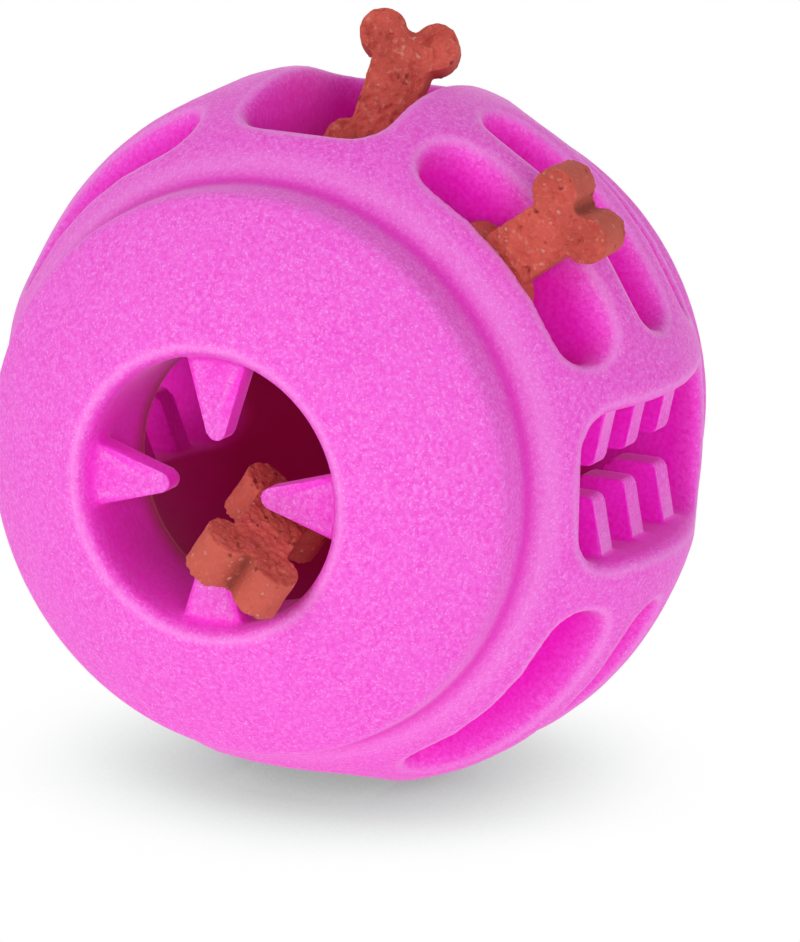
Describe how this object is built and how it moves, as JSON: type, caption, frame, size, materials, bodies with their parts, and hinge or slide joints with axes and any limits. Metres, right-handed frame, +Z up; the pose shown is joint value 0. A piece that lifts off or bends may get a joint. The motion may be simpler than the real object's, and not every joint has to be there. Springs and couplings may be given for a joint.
{
  "type": "treat dispensing ball",
  "caption": "Foamed rubber treat ball: toothed round port at each end, long windows with comb plates, treat grooves round the band, and bone treats held in place.",
  "frame": {"origin": "centre of the ball", "axes": "+Z up through the top window, -Y through the front port, +X through the right comb window"},
  "size_m": [0.0774, 0.0779, 0.0848],
  "materials": {
    "rubber": "matt foamed rubber with a fine speckled grain",
    "treat": "dry baked treat, rough crumb on the flat faces"
  },
  "bodies": {
    "ball": {"ball_shell": "rubber"},
    "port_treat": {"front_port_treat": "treat"},
    "window_treat": {"top_window_treat": "treat"},
    "groove_treat": {"side_groove_treat": "treat"}
  },
  "joints": [
    {"name": "port_treat_pull", "type": "slide", "parent": "ball", "child": "port_treat", "axis": [0.128, -0.9638, -0.2339], "range_m": [0, 0.018]},
    {"name": "window_treat_pull", "type": "slide", "parent": "ball", "child": "window_treat", "axis": [0, 0, 1], "range_m": [0, 0.015]},
    {"name": "groove_treat_pull", "type": "slide", "parent": "ball", "child": "groove_treat", "axis": [0.7987, 0, 0.6018], "range_m": [0, 0.013]}
  ]
}
